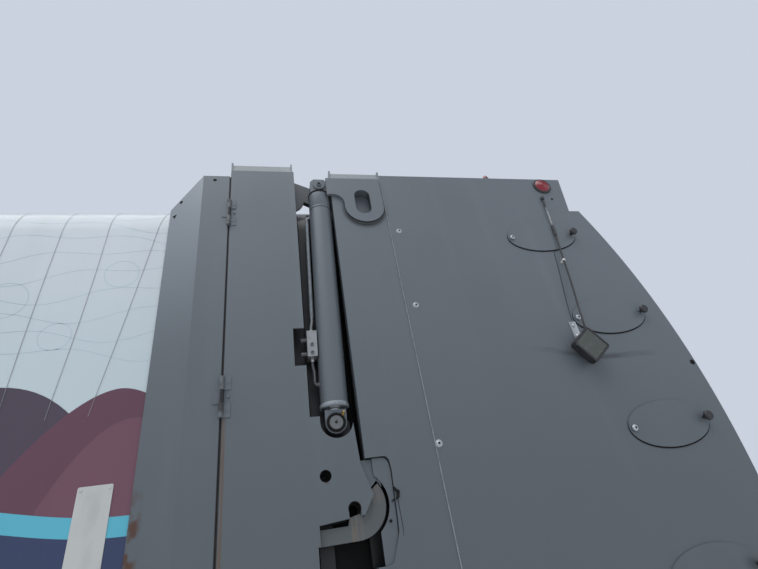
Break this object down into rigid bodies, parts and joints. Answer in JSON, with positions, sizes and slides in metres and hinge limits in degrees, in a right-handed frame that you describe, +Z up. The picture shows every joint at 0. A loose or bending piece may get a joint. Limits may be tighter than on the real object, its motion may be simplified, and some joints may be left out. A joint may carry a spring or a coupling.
{
  "type": "rear-loading refuse truck tailgate with body end",
  "caption": "Packing tailgate of a rear-loading refuse truck, hinged on the last stretch of its body, with lift cylinders, fairing doors, hopper, sliding packer and sweep blade.",
  "frame": {"origin": "middle of the front face of the front hoop's lower bar, under the body's floor", "axes": "+X rearwards, +Y to the truck's right, +Z up"},
  "size_m": [3.3399, 2.58, 2.8812],
  "materials": {
    "grey_paint": "satin",
    "cap_paint": "satin",
    "worn_steel": "worn",
    "rod_chrome": "polished",
    "seal_rubber": "matt",
    "hinge_steel": "satin",
    "red_lens": "gloss",
    "lamp_housing": "matt",
    "black_plastic": "matt"
  },
  "bodies": {
    "body_shell": {"body_walls": "grey_paint", "body_roof": "grey_paint", "body_floor": "grey_paint", "floor_frame": "grey_paint", "front_hoop": "grey_paint", "rear_flange": "grey_paint", "tail_seal": "seal_rubber", "rear_sill": "grey_paint", "rear_header": "grey_paint", "rear_posts": "grey_paint", "hinge_plates": "grey_paint", "post_caps": "cap_paint", "lift_brackets": "grey_paint", "latch_hooks": "grey_paint", "fairing_hinges": "hinge_steel"},
    "tailgate": {"side_sheets": "grey_paint", "tail_liners": "grey_paint", "tail_throat": "grey_paint", "tail_frame": "grey_paint", "tail_posts": "grey_paint", "tail_caps": "cap_paint", "hook_plates": "grey_paint", "hinge_arms": "grey_paint", "tail_roof": "grey_paint", "rear_panel": "grey_paint", "hopper_floor": "worn_steel", "hopper_sill": "grey_paint", "slide_rails": "worn_steel", "access_covers": "grey_paint", "cover_knobs": "black_plastic", "marker_lamps": "seal_rubber", "marker_lenses": "red_lens", "work_lamps": "lamp_housing", "lamp_brackets": "hinge_steel", "lamp_leads": "black_plastic", "lead_holders": "black_plastic"},
    "left_fairing": {"fairing_left": "grey_paint"},
    "right_fairing": {"fairing_right": "grey_paint"},
    "left_barrel": {"lift_barrel_left": "grey_paint", "lift_valve_left": "grey_paint"},
    "right_barrel": {"lift_barrel_right": "grey_paint", "lift_valve_right": "grey_paint"},
    "left_rod": {"lift_rod_left": "rod_chrome"},
    "right_rod": {"lift_rod_right": "rod_chrome"},
    "packer": {"packer_slide": "worn_steel", "sweep_cylinders": "grey_paint"},
    "blade": {"sweep_blade": "worn_steel", "blade_pins": "worn_steel"},
    "blade_rods": {"sweep_rods": "rod_chrome"}
  },
  "joints": [
    {"name": "tailgate_lift", "type": "hinge", "parent": "body_shell", "child": "tailgate", "pos_m": [1.45, 0, 2.305], "axis": [0, -1, 0], "range_deg": [0, 88]},
    {"name": "packer_travel", "type": "slide", "parent": "tailgate", "child": "packer", "axis": [0.5736, 0, -0.8192], "range_m": [0, 0.9]},
    {"name": "blade_sweep", "type": "hinge", "parent": "packer", "child": "blade", "pos_m": [1.98378, 0, 1.01124], "axis": [0, -1, 0], "range_deg": [0, 96]},
    {"name": "blade_rods_travel", "type": "slide", "parent": "packer", "child": "blade_rods", "axis": [-0.2588, 0, 0.9659], "range_m": [0, 0.268]},
    {"name": "left_fairing_swing", "type": "hinge", "parent": "body_shell", "child": "left_fairing", "pos_m": [1.1815, -1.2293, 1.2], "axis": [0, 0, 1], "range_deg": [0, 110]},
    {"name": "left_barrel_swing", "type": "hinge", "parent": "tailgate", "child": "left_barrel", "pos_m": [1.628, -1.172, 2.21], "axis": [0, -1, 0], "range_deg": [-84.97, 0]},
    {"name": "left_rod_travel", "type": "slide", "parent": "left_barrel", "child": "left_rod", "axis": [-0.0239, 0, -0.9997], "range_m": [0, 0.2704]},
    {"name": "right_fairing_swing", "type": "hinge", "parent": "body_shell", "child": "right_fairing", "pos_m": [1.1815, 1.2293, 1.2], "axis": [0, 0, -1], "range_deg": [0, 110]},
    {"name": "right_barrel_swing", "type": "hinge", "parent": "tailgate", "child": "right_barrel", "pos_m": [1.628, 1.172, 2.21], "axis": [0, -1, 0], "range_deg": [-84.97, 0]},
    {"name": "right_rod_travel", "type": "slide", "parent": "right_barrel", "child": "right_rod", "axis": [-0.0239, 0, -0.9997], "range_m": [0, 0.2704]}
  ],
  "couplings": [
    {"joint": "blade_rods_travel", "follows": "blade_sweep", "m_per_rad": 0.15967},
    {"joint": "left_barrel_swing", "follows": "tailgate_lift", "ratio": -0.96439},
    {"joint": "left_rod_travel", "follows": "tailgate_lift", "m_per_rad": 0.17575},
    {"joint": "right_barrel_swing", "follows": "tailgate_lift", "ratio": -0.96439},
    {"joint": "right_rod_travel", "follows": "tailgate_lift", "m_per_rad": 0.17575}
  ]
}
